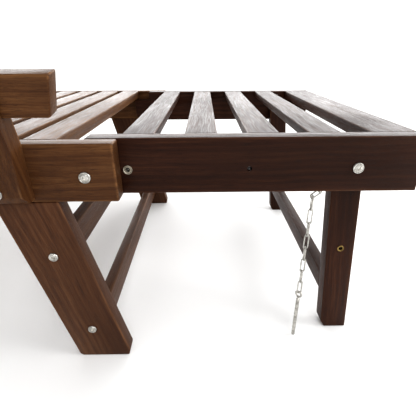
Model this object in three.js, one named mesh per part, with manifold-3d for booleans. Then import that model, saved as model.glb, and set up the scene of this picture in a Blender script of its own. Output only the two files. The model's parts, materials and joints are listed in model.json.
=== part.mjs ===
// Convertible slatted garden daybed: a fixed seat with a leaning back, and an arm wing at each end that
// folds flat to lengthen the seat, each wing with a fold-down leg frame and a lock pin on a chain.
// Millimetres. +X runs along the seat, -Y is the back side, +Z is up, and the feet stand on Z = 0.
import * as THREE from "three";
import { mergeVertices } from "three/addons/utils/BufferGeometryUtils.js";
import Module from "manifold-3d";

// Overall
const SEAT_HEIGHT = 363; // top of the rails and slats above the floor
const FRAME_DEPTH = 644; // over the outer faces of the two main rails
const GAP = 0.3; // assembly clearance between pieces that touch
const JOINT_GAP = 2; // washer between two rails, or a rail and a leg, that turn on each other
const OVERRUN = 2; // how far a cut, or a tongue that is joined on, runs past the face it starts from
const ROUND_STEPS = 10; // straight steps in half a hole, and in a leg's round end

// Seat
const RAIL_HEIGHT = 78;
const RAIL_THICKNESS = 27;
const SEAT_SLATS = 17;
const SEAT_SLAT_WIDTH = 45;
const SEAT_SLAT_PITCH = 60;
const SEAT_SLAT_THICKNESS = 19.5;
const RAIL_OVERHANG = 78.5; // from the last seat slat's outer edge to the main rail's end
const TENON_LENGTH = 12;
const TENON_SHOULDER = 4.5; // step from a slat's faces to its tenon's faces, all round

// Main legs and their stretchers
const LEG_WIDTH = 84;
const LEG_THICKNESS = 25;
const LEG_SPLAY = THREE.MathUtils.degToRad(13.7);
const LEG_TOP_INSET = 82; // from the main rail's end to the leg's outer edge, at the rail's underside
const LEG_OUTER_BEVEL = 10;
const LEG_INNER_BEVEL = 4;
const LEG_TENON_WIDTH = 46;
const LEG_TENON_THICKNESS = 9;
const LEG_TENON_HEIGHT = 24;
const STRETCHER_WIDTH = 20;
const STRETCHER_HEIGHT = 46;
const STRETCHER_OFFSET = 7; // outwards from the leg's centre line
const UPPER_STRETCHER_Z = 199;
const LOWER_STRETCHER_Z = 59.5;
const LEG_BOLT_HOLE = 7;

// Wings
const PIVOT_INSET = 40; // from the main rail's end to the wing's pivot bolt
const PIVOT_DROP = 43.5; // from the rails' top to the line of all the bolts and pin holes
const WING_TAIL = 45; // wing rail behind its pivot, under the seat slats
const WING_SHOULDER = 4; // full-height rail starts this far behind the pivot
const TAIL_CLEARANCE = 3; // between the tail's top and the seat slats it passes under
const TAIL_BEVEL = 12;
const WING_SLATS = 4;
const WING_SLAT_WIDTH = 45;
const WING_SLAT_PITCH = 86.5;
const WING_SLAT_THICKNESS = 14.5;
const END_BOARD_WIDTH = 66;
const END_BOARD_THICKNESS = 19;
const WING_RAISED = THREE.MathUtils.degToRad(73); // a pin in the hold-up hole rests on the main rail here
const LEG_PIVOT_INSET = 88; // from the wing's outer end to the wing leg's pivot

// Wing leg frames
const WING_LEG_WIDTH = 45;
const WING_LEG_THICKNESS = 27;
const WING_LEG_SPLAY = THREE.MathUtils.degToRad(4.6);
const WING_LEG_BEVEL_ALONG = 12;
const WING_LEG_BEVEL_ACROSS = 6;
const LOCK_HOLE_REACH = 149; // from the leg's pivot to the lock holes in the leg and in the wing rail
const LEG_BAR_START = 210; // along the leg from its pivot
const LEG_BAR_HEIGHT = 37;
const LEG_BAR_THICKNESS = 20;

// Wing pivot bolts
const BOLT_DIAMETER = 8;
const BOLT_CLEARANCE = 0.3; // round the shank, in every hole it passes
const BOLT_HEAD_DIAMETER = 16;
const BOLT_HEAD_HEIGHT = 3;
const NUT_DIAMETER = 15;
const NUT_HEIGHT = 6.5;

// Lock pin and chain
const LINK_PITCH = 22;
const LINK_WIDTH = 8.6;
const LINK_WIRE = 2.2;
const LINK_BITE = 0.3; // how far each link runs into the next, so that the chain is one solid
const EYE_CLEARANCE = 0.5; // round the last link's wire, enough for the pin's eye to turn on it
const CHAIN_INSET = 142; // from the wing's outer end
const CHAIN_DROP = 10.5; // first free link's top below the rail's underside
const CHAIN_FACE_INSET = 8; // from the wing rail's outer face
const PIN_DIAMETER = 6;
const PIN_CLEARANCE = 1; // hole diameter over pin diameter
const PIN_LENGTH = 92; // from the eye's centre to the tip
const PIN_FLOOR_ROOM = 2; // least height of the hanging pin's tip
const EYE_RADIUS = 5.25;
const EYE_WIRE = 2.6;

// Back
const BACK_LEAN = THREE.MathUtils.degToRad(12);
const BACK_END_SLANT = THREE.MathUtils.degToRad(14); // the rails' ends lie along the raised arm
const BACK_RAIL_THICKNESS = 23;
const BACK_RAIL_LET_IN = 17; // into the posts' front
const LOWER_RAIL_START = 39.5; // above the seat, along the lean
const LOWER_RAIL_HEIGHT = 47;
const LOWER_RAIL_INSET = 57; // from the main rail's end to the lower back rail's lower corner
const BACK_HEIGHT = 330; // along the lean, from the seat to the top rail's top
const TOP_RAIL_HEIGHT = 60;
const POST_WIDTH = 60;
const POST_THICKNESS = 27;
const POST_INSET = 110; // from the main rail's end to the post's outer edge
const POST_FOOT_LIFT = 5; // post's foot above the main rail's underside
const BACK_SLATS = 11;
const BACK_SLAT_WIDTH = 45;
const BACK_SLAT_PITCH = 72;
const BACK_SLAT_THICKNESS = 12;
const GROOVE_WIDTH = 8;
const GROOVE_DEPTH = 9;

// Worked out from the above
const RAIL_LENGTH = (SEAT_SLATS - 1) * SEAT_SLAT_PITCH + SEAT_SLAT_WIDTH + 2 * RAIL_OVERHANG;
const RAIL_END = RAIL_LENGTH / 2;
const RAIL_BOTTOM = SEAT_HEIGHT - RAIL_HEIGHT;
const MAIN_OUTER = FRAME_DEPTH / 2;
const MAIN_INNER = MAIN_OUTER - RAIL_THICKNESS;
const WING_OUTER = MAIN_INNER - JOINT_GAP;
const WING_INNER = WING_OUTER - RAIL_THICKNESS;
const WING_LEG_OUTER = WING_INNER - JOINT_GAP;
const WING_LEG_INNER = WING_LEG_OUTER - WING_LEG_THICKNESS;
const BOLT_LINE = SEAT_HEIGHT - PIVOT_DROP;
const PIVOT_X = RAIL_END - PIVOT_INSET;
const END_BOARD_X = RAIL_END + WING_SLATS * WING_SLAT_PITCH;
const WING_END = END_BOARD_X + END_BOARD_WIDTH;
const LEG_PIVOT_X = WING_END - LEG_PIVOT_INSET;
const BOLT_HOLE = BOLT_DIAMETER + 2 * BOLT_CLEARANCE;
const LOCK_SIDE = -1; // the back side, where the lock pin hangs
const PIN_HOLE = PIN_DIAMETER + PIN_CLEARANCE;
const HOLD_UP_HOLE_REACH = (PIVOT_DROP + PIN_DIAMETER / 2) / Math.sin(WING_RAISED); // from the pivot
const LEG_TOP_X = RAIL_END - LEG_TOP_INSET;
const LEG_RUN = LEG_WIDTH / Math.cos(LEG_SPLAY); // the leg's width along the floor

const wasm = await Module();
wasm.setup();

const WOOD = { roughness: 0.55, metalness: 0 };
const STEEL = { color: 0xb9b7b0, roughness: 0.35, metalness: 0.9 };
const seatWood = new THREE.MeshStandardMaterial({ color: 0x5a3a24, ...WOOD });
const wingWood = new THREE.MeshStandardMaterial({ color: 0x43251a, ...WOOD });
const steel = new THREE.MeshStandardMaterial(STEEL);

// A closed geometry as a solid that can be joined and cut.
function solidOf(geometry) {
  const bare = geometry.clone();
  bare.deleteAttribute("normal");
  bare.deleteAttribute("uv");
  const merged = mergeVertices(bare, 1e-4);
  const mesh = new wasm.Mesh({
    numProp: 3,
    vertProperties: merged.getAttribute("position").array,
    triVerts: new Uint32Array(merged.index.array),
  });
  return new wasm.Manifold(mesh);
}

// A joined or cut solid as a geometry.
function geometryOf(solid) {
  const mesh = solid.getMesh();
  const geometry = new THREE.BufferGeometry();
  geometry.setAttribute("position", new THREE.BufferAttribute(new Float32Array(mesh.vertProperties), 3));
  geometry.setIndex(new THREE.BufferAttribute(mesh.triVerts, 1));
  geometry.computeVertexNormals();
  return geometry;
}

function joined(geometries) {
  return geometryOf(geometries.map(solidOf).reduce((all, next) => all.add(next)));
}

function cut(geometry, tools) {
  return geometryOf(tools.map(solidOf).reduce((left, tool) => left.subtract(tool), solidOf(geometry)));
}

// A box between two corners.
function box([x0, y0, z0], [x1, y1, z1]) {
  const geometry = new THREE.BoxGeometry(Math.abs(x1 - x0), Math.abs(y1 - y0), Math.abs(z1 - z0));
  return geometry.translate((x0 + x1) / 2, (y0 + y1) / 2, (z0 + z1) / 2);
}

// A flat board: an outline of [x, z] points, cut through by round holes, between two Y planes.
function board(outline, y0, y1, holes = []) {
  const shape = new THREE.Shape(outline.map(([x, z]) => new THREE.Vector2(x, z)));
  for (const { x, z, diameter } of holes) {
    shape.holes.push(new THREE.Path().absarc(x, z, diameter / 2, 0, 2 * Math.PI));
  }
  const options = { depth: Math.abs(y1 - y0), bevelEnabled: false, curveSegments: ROUND_STEPS };
  const geometry = new THREE.ExtrudeGeometry(shape, options);
  return geometry.rotateX(Math.PI / 2).translate(0, Math.max(y0, y1), 0);
}

function piece(name, geometry, material) {
  const mesh = new THREE.Mesh(geometry, material);
  mesh.name = name;
  return mesh;
}

// A board that runs along Y between two rails, with a tenon at each end.
function tenoned(x0, x1, thickness, faceY) {
  const tenonY = faceY + TENON_LENGTH - GAP;
  const bodyY = faceY - GAP;
  const step = TENON_SHOULDER;
  const top = SEAT_HEIGHT;
  return joined([
    box([x0, -bodyY, top - thickness], [x1, bodyY, top]),
    box([x0 + step, -tenonY, top - thickness + step], [x1 - step, tenonY, top - step]),
  ]);
}

// The pocket that takes one of those tenons, in the rail on one side (-1 is the back).
function mortise(x0, x1, thickness, faceY, side) {
  const room = TENON_SHOULDER - GAP;
  const top = SEAT_HEIGHT;
  return box(
    [x0 + room, side * (faceY - OVERRUN), top - thickness + room],
    [x1 - room, side * (faceY + TENON_LENGTH), top - room],
  );
}

const seatSlatX = [...Array(SEAT_SLATS).keys()].map((i) => (i - (SEAT_SLATS - 1) / 2) * SEAT_SLAT_PITCH);
const SIDES = [["back", -1], ["front", 1]];
const ENDS = [["left", -1], ["right", 1]];

const model = new THREE.Group();

// Seat: two rails, the slats between them
function mainRail(side) {
  const holes = ENDS.map(([, end]) => ({ x: end * PIVOT_X, z: BOLT_LINE, diameter: BOLT_HOLE }));
  const outline = [
    [-RAIL_END, RAIL_BOTTOM],
    [RAIL_END, RAIL_BOTTOM],
    [RAIL_END, SEAT_HEIGHT],
    [-RAIL_END, SEAT_HEIGHT],
  ];
  const half = SEAT_SLAT_WIDTH / 2;
  const pockets = seatSlatX.map((x) => mortise(x - half, x + half, SEAT_SLAT_THICKNESS, MAIN_INNER, side));
  for (const [, end] of ENDS) pockets.push(legTenon(end, side, GAP));
  return cut(board(outline, side * MAIN_INNER, side * MAIN_OUTER, holes), pockets);
}

// The tongue at the top of a leg; grown by the given room it is the pocket in the rail.
function legTenon(end, side, room) {
  const x = end * (LEG_TOP_X - LEG_RUN / 2);
  const y = side * (MAIN_OUTER - LEG_THICKNESS / 2);
  const halfX = LEG_TENON_WIDTH / 2 + room;
  const halfY = LEG_TENON_THICKNESS / 2 + room;
  const top = RAIL_BOTTOM + LEG_TENON_HEIGHT + room;
  return box([x - halfX, y - halfY, RAIL_BOTTOM - OVERRUN], [x + halfX, y + halfY, top]);
}

// A main leg's outer edge at a height.
const legEdge = (z) => LEG_TOP_X + (RAIL_BOTTOM - z) * Math.tan(LEG_SPLAY);
const legCentre = (z) => legEdge(z) - LEG_RUN / 2;

function mainLeg(end, side) {
  const top = RAIL_BOTTOM - GAP;
  const outline = [
    [legEdge(top) - LEG_RUN, top],
    [legEdge(LEG_INNER_BEVEL) - LEG_RUN, LEG_INNER_BEVEL],
    [legEdge(0) - LEG_RUN + LEG_INNER_BEVEL, 0],
    [legEdge(0) - LEG_OUTER_BEVEL / 2, 0],
    [legEdge(LEG_OUTER_BEVEL), LEG_OUTER_BEVEL],
    [legEdge(top), top],
  ].map(([x, z]) => [end * x, z]);
  const holes = [UPPER_STRETCHER_Z, LOWER_STRETCHER_Z].map((z) => ({
    x: end * legCentre(z),
    z,
    diameter: LEG_BOLT_HOLE,
  }));
  const plank = board(outline, side * (MAIN_OUTER - LEG_THICKNESS), side * MAIN_OUTER, holes);
  return joined([plank, legTenon(end, side, 0)]);
}

function stretcher(end, z) {
  const x = legCentre(z) + STRETCHER_OFFSET;
  const y = MAIN_OUTER - LEG_THICKNESS - GAP;
  const low = [end * (x - STRETCHER_WIDTH / 2), -y, z - STRETCHER_HEIGHT / 2];
  const high = [end * (x + STRETCHER_WIDTH / 2), y, z + STRETCHER_HEIGHT / 2];
  return box(low, high);
}

for (const [sideName, side] of SIDES) model.add(piece(`main_rail_${sideName}`, mainRail(side), seatWood));
seatSlatX.forEach((x, i) => {
  const half = SEAT_SLAT_WIDTH / 2;
  const geometry = tenoned(x - half, x + half, SEAT_SLAT_THICKNESS, MAIN_INNER);
  model.add(piece(`seat_slat_${String(i + 1).padStart(2, "0")}`, geometry, seatWood));
});
for (const [endName, end] of ENDS) {
  for (const [sideName, side] of SIDES) {
    model.add(piece(`leg_${sideName}_${endName}`, mainLeg(end, side), seatWood));
  }
  model.add(piece(`stretcher_upper_${endName}`, stretcher(end, UPPER_STRETCHER_Z), seatWood));
  model.add(piece(`stretcher_lower_${endName}`, stretcher(end, LOWER_STRETCHER_Z), seatWood));
}

// Back: made upright on the main rail's outer top edge, then leaned
const leaned = (geometry) => geometry.rotateX(BACK_LEAN).translate(0, -MAIN_OUTER, SEAT_HEIGHT);
const backEnd = (z) => RAIL_END - LOWER_RAIL_INSET + (z - LOWER_RAIL_START) * Math.tan(BACK_END_SLANT);
const TOP_RAIL_START = BACK_HEIGHT - TOP_RAIL_HEIGHT;
const LOWER_RAIL_TOP = LOWER_RAIL_START + LOWER_RAIL_HEIGHT;
const BACK_RAIL_MIDDLE = BACK_RAIL_THICKNESS / 2 - BACK_RAIL_LET_IN;

function backRail(z0, z1) {
  const outline = [[-backEnd(z0), z0], [backEnd(z0), z0], [backEnd(z1), z1], [-backEnd(z1), z1]];
  return board(outline, -BACK_RAIL_LET_IN, BACK_RAIL_THICKNESS - BACK_RAIL_LET_IN);
}

// The groove in the lower rail, or with no room the strip that fills it between the back slats' feet.
function groove(room) {
  const halfX = (BACK_SLATS - 1) * BACK_SLAT_PITCH / 2 + BACK_SLAT_WIDTH / 2 - TENON_SHOULDER + room;
  const halfY = GROOVE_WIDTH / 2 + room;
  const y = BACK_RAIL_MIDDLE;
  const top = LOWER_RAIL_TOP + (room > 0 ? OVERRUN : -GAP);
  return box([-halfX, y - halfY, LOWER_RAIL_TOP - GROOVE_DEPTH - room], [halfX, y + halfY, top]);
}

function backSlats() {
  const y0 = BACK_RAIL_MIDDLE - BACK_SLAT_THICKNESS / 2;
  const y1 = y0 + BACK_SLAT_THICKNESS;
  const slats = [...Array(BACK_SLATS).keys()].map((i) => {
    const x = (i - (BACK_SLATS - 1) / 2) * BACK_SLAT_PITCH;
    const half = BACK_SLAT_WIDTH / 2;
    return box([x - half, y0, LOWER_RAIL_TOP + GAP], [x + half, y1, TOP_RAIL_START - GAP]);
  });
  const feet = [...Array(BACK_SLATS).keys()].map((i) => {
    const x = (i - (BACK_SLATS - 1) / 2) * BACK_SLAT_PITCH;
    const half = BACK_SLAT_WIDTH / 2 - TENON_SHOULDER;
    const y = BACK_RAIL_MIDDLE;
    const low = [x - half, y - GROOVE_WIDTH / 2, LOWER_RAIL_TOP - GROOVE_DEPTH];
    return box(low, [x + half, y + GROOVE_WIDTH / 2, LOWER_RAIL_TOP + 2 * GAP]);
  });
  return joined([groove(0), ...slats, ...feet]);
}

// A post stands on the main rail's outer face and bends back at the seat; both back rails are let into it.
function backPost(end) {
  const outer = RAIL_END - POST_INSET;
  const low = RAIL_BOTTOM + POST_FOOT_LIFT;
  const bend = POST_THICKNESS * Math.tan(BACK_LEAN / 2);
  const front = [[-MAIN_OUTER - GAP, low], [-MAIN_OUTER - GAP, SEAT_HEIGHT]];
  const rise = [Math.sin(BACK_LEAN) * BACK_HEIGHT, Math.cos(BACK_LEAN) * BACK_HEIGHT];
  const topFront = [-MAIN_OUTER - GAP - rise[0], SEAT_HEIGHT + rise[1]];
  const across = [Math.cos(BACK_LEAN) * POST_THICKNESS, Math.sin(BACK_LEAN) * POST_THICKNESS];
  const topBack = [topFront[0] - across[0], topFront[1] - across[1]];
  const back = [
    [-MAIN_OUTER - GAP - POST_THICKNESS, SEAT_HEIGHT - bend],
    [-MAIN_OUTER - GAP - POST_THICKNESS, low + POST_THICKNESS / 2],
    [-MAIN_OUTER - GAP - POST_THICKNESS / 2, low],
  ];
  const outline = [...front, topFront, topBack, ...back].map(([y, z]) => new THREE.Vector2(y, z));
  const shape = new THREE.Shape(outline);
  const plank = new THREE.ExtrudeGeometry(shape, { depth: POST_WIDTH, bevelEnabled: false });
  plank.rotateX(Math.PI / 2).rotateZ(Math.PI / 2).translate(end > 0 ? outer - POST_WIDTH : -outer, 0, 0);
  const housing = (z0, z1) => {
    const corner = [end * (outer + OVERRUN), -BACK_RAIL_LET_IN - GAP, z0 - GAP];
    return leaned(box(corner, [end * (outer - POST_WIDTH - OVERRUN), OVERRUN, z1 + GAP]));
  };
  const housings = [
    housing(LOWER_RAIL_START, LOWER_RAIL_TOP),
    housing(TOP_RAIL_START, BACK_HEIGHT + OVERRUN),
  ];
  return cut(plank, housings);
}

const lowerRail = cut(backRail(LOWER_RAIL_START, LOWER_RAIL_TOP), [groove(GAP)]);
model.add(piece("back_rail_lower", leaned(lowerRail), seatWood));
model.add(piece("back_rail_top", leaned(backRail(TOP_RAIL_START, BACK_HEIGHT)), seatWood));
model.add(piece("back_slats", leaned(backSlats()), seatWood));
for (const [endName, end] of ENDS) model.add(piece(`back_post_${endName}`, backPost(end), seatWood));

// Wings: every X below is measured for the right-hand end and mirrored for the left
const wingSlatX = [...Array(WING_SLATS).keys()].map((i) => RAIL_END + i * WING_SLAT_PITCH);

function wingRail(end, side) {
  const tail = PIVOT_X - WING_TAIL;
  const shoulder = PIVOT_X - WING_SHOULDER;
  const tailTop = SEAT_HEIGHT - SEAT_SLAT_THICKNESS - TAIL_CLEARANCE;
  const outline = [
    [tail + TAIL_BEVEL, RAIL_BOTTOM],
    [WING_END, RAIL_BOTTOM],
    [WING_END, SEAT_HEIGHT],
    [shoulder, SEAT_HEIGHT],
    [shoulder, tailTop],
    [tail, tailTop],
    [tail, RAIL_BOTTOM + TAIL_BEVEL],
  ].map(([x, z]) => [end * x, z]);
  const holes = [
    [PIVOT_X, BOLT_HOLE],
    [PIVOT_X + HOLD_UP_HOLE_REACH, PIN_HOLE],
    [LEG_PIVOT_X, BOLT_HOLE],
  ];
  if (side === LOCK_SIDE) holes.push([LEG_PIVOT_X - LOCK_HOLE_REACH, PIN_HOLE]);
  const bores = holes.map(([x, diameter]) => ({ x: end * x, z: BOLT_LINE, diameter }));
  const pocket = (x, width, thickness) => {
    const edges = [end * x, end * (x + width)].sort((a, b) => a - b);
    return mortise(...edges, thickness, WING_INNER, side);
  };
  const pockets = wingSlatX.map((x) => pocket(x, WING_SLAT_WIDTH, WING_SLAT_THICKNESS));
  pockets.push(pocket(END_BOARD_X, END_BOARD_WIDTH, END_BOARD_THICKNESS));
  return cut(board(outline, side * WING_INNER, side * WING_OUTER, bores), pockets);
}

function crossBoard(end, x, width, thickness) {
  const edges = [end * x, end * (x + width)].sort((a, b) => a - b);
  return tenoned(...edges, thickness, WING_INNER);
}

// A point on a wing leg: s along it from its pivot, p across it, outwards.
function onLeg(end, s, p) {
  const [sin, cos] = [Math.sin(WING_LEG_SPLAY), Math.cos(WING_LEG_SPLAY)];
  return [end * (LEG_PIVOT_X + s * sin + p * cos), BOLT_LINE - s * cos + p * sin];
}

function wingLeg(end, side) {
  const half = WING_LEG_WIDTH / 2;
  const footAt = (p) => (BOLT_LINE + p * Math.sin(WING_LEG_SPLAY)) / Math.cos(WING_LEG_SPLAY);
  const outline = [];
  for (let i = 0; i <= ROUND_STEPS; i++) {
    const angle = (i / ROUND_STEPS) * Math.PI;
    outline.push(onLeg(end, -half * Math.sin(angle), -half * Math.cos(angle)));
  }
  outline.push(onLeg(end, footAt(half), half));
  outline.push(onLeg(end, footAt(-half + WING_LEG_BEVEL_ACROSS), -half + WING_LEG_BEVEL_ACROSS));
  outline.push(onLeg(end, footAt(-half) - WING_LEG_BEVEL_ALONG, -half));
  const holes = [[0, BOLT_HOLE]];
  if (side === LOCK_SIDE) holes.push([LOCK_HOLE_REACH, PIN_HOLE]);
  const bores = holes.map(([s, diameter]) => {
    const [x, z] = onLeg(end, s, 0);
    return { x, z, diameter };
  });
  return board(outline, side * WING_LEG_INNER, side * WING_LEG_OUTER, bores);
}

function legBar(end) {
  const p = -WING_LEG_WIDTH / 2;
  const [s0, s1] = [LEG_BAR_START, LEG_BAR_START + LEG_BAR_HEIGHT];
  const outline = [[s0, p], [s1, p], [s1, p + LEG_BAR_THICKNESS], [s0, p + LEG_BAR_THICKNESS]];
  const y = WING_LEG_INNER - GAP;
  return board(outline.map(([s, q]) => onLeg(end, s, q)), -y, y);
}

// Head, shank and nut turned about the pivot's axis: from the main rail's outer face to the wing rail's
// inner face.
function pivotBolt(end, side) {
  const inner = WING_INNER - GAP;
  const outer = MAIN_OUTER + GAP;
  const profile = [
    [0, inner - NUT_HEIGHT],
    [NUT_DIAMETER / 2, inner - NUT_HEIGHT],
    [NUT_DIAMETER / 2, inner],
    [BOLT_DIAMETER / 2, inner],
    [BOLT_DIAMETER / 2, outer],
    [BOLT_HEAD_DIAMETER / 2, outer],
    [BOLT_HEAD_DIAMETER / 2, outer + BOLT_HEAD_HEIGHT / 2],
    [BOLT_HEAD_DIAMETER / 2 - BOLT_HEAD_HEIGHT / 2, outer + BOLT_HEAD_HEIGHT],
    [0, outer + BOLT_HEAD_HEIGHT],
  ].map(([r, y]) => new THREE.Vector2(r, y));
  const geometry = new THREE.LatheGeometry(profile, 20);
  if (side < 0) geometry.rotateX(Math.PI);
  return geometry.translate(end * PIVOT_X, 0, BOLT_LINE);
}

const CHAIN_TOP = RAIL_BOTTOM - CHAIN_DROP;
const CHAIN_Y = -(WING_OUTER - CHAIN_FACE_INSET);
const CHAIN_X = WING_END - CHAIN_INSET;
const LINKS = Math.floor((CHAIN_TOP - PIN_LENGTH - PIN_FLOOR_ROOM) / LINK_PITCH);
const LAST_LINK_SEAT = CHAIN_TOP - LINKS * LINK_PITCH + (LINK_WIRE - LINK_BITE) / 2;
const EYE_Z = LAST_LINK_SEAT + EYE_CLEARANCE - EYE_RADIUS + EYE_WIRE / 2;

// One long link, centred on the origin with its length along Z and its loop in the XZ plane.
function link() {
  const loop = (radius, target) => {
    const reach = (LINK_PITCH + LINK_WIRE - LINK_WIDTH + LINK_BITE) / 2;
    target.absarc(0, reach, radius, 0, Math.PI);
    target.absarc(0, -reach, radius, Math.PI, 2 * Math.PI);
    return target;
  };
  const shape = loop(LINK_WIDTH / 2, new THREE.Shape());
  shape.holes.push(loop(LINK_WIDTH / 2 - LINK_WIRE, new THREE.Path()));
  const options = { depth: LINK_WIRE, bevelEnabled: false, curveSegments: 6 };
  return new THREE.ExtrudeGeometry(shape, options).rotateX(Math.PI / 2).translate(0, LINK_WIRE / 2, 0);
}

function chain() {
  const links = [...Array(LINKS).keys()].map((i) => {
    const z = CHAIN_TOP - (i + 0.5) * LINK_PITCH;
    return link().rotateZ(i % 2 ? 0 : Math.PI / 2).translate(0, 0, z);
  });
  return joined(links);
}

function lockPin() {
  const radius = PIN_DIAMETER / 2;
  const profile = [
    [0, -PIN_LENGTH],
    [radius / 2, -PIN_LENGTH],
    [radius, -PIN_LENGTH + radius],
    [radius, -EYE_RADIUS],
    [0, -EYE_RADIUS],
  ].map(([r, y]) => new THREE.Vector2(r, y));
  const rod = new THREE.LatheGeometry(profile, 16);
  const eye = new THREE.TorusGeometry(EYE_RADIUS, EYE_WIRE / 2, 8, 20);
  const turn = LINKS % 2 ? 0 : Math.PI / 2; // across the last link
  return joined([rod, eye]).rotateX(Math.PI / 2).rotateZ(turn).translate(0, 0, EYE_Z);
}

for (const [endName, end] of ENDS) {
  for (const [sideName, side] of SIDES) {
    model.add(piece(`wing_${endName}_rail_${sideName}`, wingRail(end, side), wingWood));
    model.add(piece(`wing_${endName}_leg_${sideName}`, wingLeg(end, side), wingWood));
    model.add(piece(`pivot_bolt_${sideName}_${endName}`, pivotBolt(end, side), steel));
  }
  wingSlatX.forEach((x, i) => {
    const geometry = crossBoard(end, x, WING_SLAT_WIDTH, WING_SLAT_THICKNESS);
    model.add(piece(`wing_${endName}_slat_${i + 1}`, geometry, wingWood));
  });
  const endBoard = crossBoard(end, END_BOARD_X, END_BOARD_WIDTH, END_BOARD_THICKNESS);
  model.add(piece(`wing_${endName}_end_board`, endBoard, wingWood));
  model.add(piece(`wing_${endName}_leg_bar`, legBar(end), wingWood));
  for (const [name, geometry] of [["lock_chain", chain()], ["lock_pin", lockPin()]]) {
    const mesh = piece(`${name}_${endName}`, geometry, steel);
    mesh.position.set(end * CHAIN_X, CHAIN_Y, 0);
    model.add(mesh);
  }
}

// The origin is on the floor, below the middle of the whole piece of furniture.
const centre = new THREE.Box3().setFromObject(model).getCenter(new THREE.Vector3());
model.position.y = -centre.y;

export default model;
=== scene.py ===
"""Looks for a slatted garden daybed with two folding arm wings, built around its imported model.

Metres throughout. +X runs along the seat, -Y is the back side, +Z is up.
"""

import json
import logging
import math
import random
from dataclasses import dataclass
from enum import Enum
from functools import reduce
from typing import Sequence

import bmesh
import bpy
from mathutils import Matrix, Vector

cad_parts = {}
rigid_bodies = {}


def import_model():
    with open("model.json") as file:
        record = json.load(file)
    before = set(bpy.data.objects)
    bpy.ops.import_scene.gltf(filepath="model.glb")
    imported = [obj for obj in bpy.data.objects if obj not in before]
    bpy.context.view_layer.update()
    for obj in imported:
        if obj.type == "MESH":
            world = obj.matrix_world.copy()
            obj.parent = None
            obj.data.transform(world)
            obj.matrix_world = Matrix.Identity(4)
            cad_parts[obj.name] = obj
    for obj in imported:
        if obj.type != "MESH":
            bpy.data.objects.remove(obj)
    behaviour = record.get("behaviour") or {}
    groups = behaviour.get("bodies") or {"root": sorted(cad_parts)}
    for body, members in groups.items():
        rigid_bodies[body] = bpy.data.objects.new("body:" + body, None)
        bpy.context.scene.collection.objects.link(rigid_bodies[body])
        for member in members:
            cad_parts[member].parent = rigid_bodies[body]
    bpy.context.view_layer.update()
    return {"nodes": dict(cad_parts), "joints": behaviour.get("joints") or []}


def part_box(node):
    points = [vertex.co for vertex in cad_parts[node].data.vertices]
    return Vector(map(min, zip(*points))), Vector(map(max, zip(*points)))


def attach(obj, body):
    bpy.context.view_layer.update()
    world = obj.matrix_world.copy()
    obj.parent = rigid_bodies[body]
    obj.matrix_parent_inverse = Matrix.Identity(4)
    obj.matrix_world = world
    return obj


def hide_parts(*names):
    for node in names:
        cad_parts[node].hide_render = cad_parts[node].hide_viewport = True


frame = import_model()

LOG = logging.getLogger("daybed")
MM = 0.001
SEED = 11
BOARD_SHARP = math.radians(40)
METAL_SHARP = math.radians(35)
WELD = 0.02 * MM
FLOOR_SLACK = 0.5 * MM
FLATNESS = math.radians(1)
LEAST_TURN = math.radians(25)
LONG_SHARE = 0.6
TIMBER = (9.0, 4.0, 4.0)
HEART = 0.05
LEG_SPLAY = math.radians(13.7)
WING_LEG_SPLAY = math.radians(4.6)
ENDS = (("left", -1), ("right", 1))
SIDES = (("back", -1), ("front", 1))
X_AXIS = Vector((1, 0, 0))
Y_AXIS = Vector((0, 1, 0))
Z_AXIS = Vector((0, 0, 1))
Color = tuple[float, float, float]
Spot = tuple[Vector, Vector]


# ---------------------------------------------------------------- finishes


@dataclass(frozen=True)
class Layer:
    """A noise layer: its frequencies per metre along, across and through, and its detail."""

    stretch: tuple[float, float, float]
    detail: float
    rough: float = 0.55


FIBRE = Layer((16, 780, 780), 4.0, 0.62)
STREAK = Layer((4.5, 170, 170), 4.0, 0.6)
FIGURE = Layer((1.4, 30, 30), 3.0)
PORES = Layer((70, 1700, 1700), 1.0)
BLOTCH = Layer((4.0, 10, 10), 4.0)
PATCHES = Layer((160, 160, 160), 4.0)
ROLLED = Layer((900.0, 270.0, 900.0), 2.0)
NOISE_SPAN = (0.3, 0.7)
VECTOR_MATH = "ShaderNodeVectorMath"
PATCH_EDGE = (0.38, 0.66)


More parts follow.
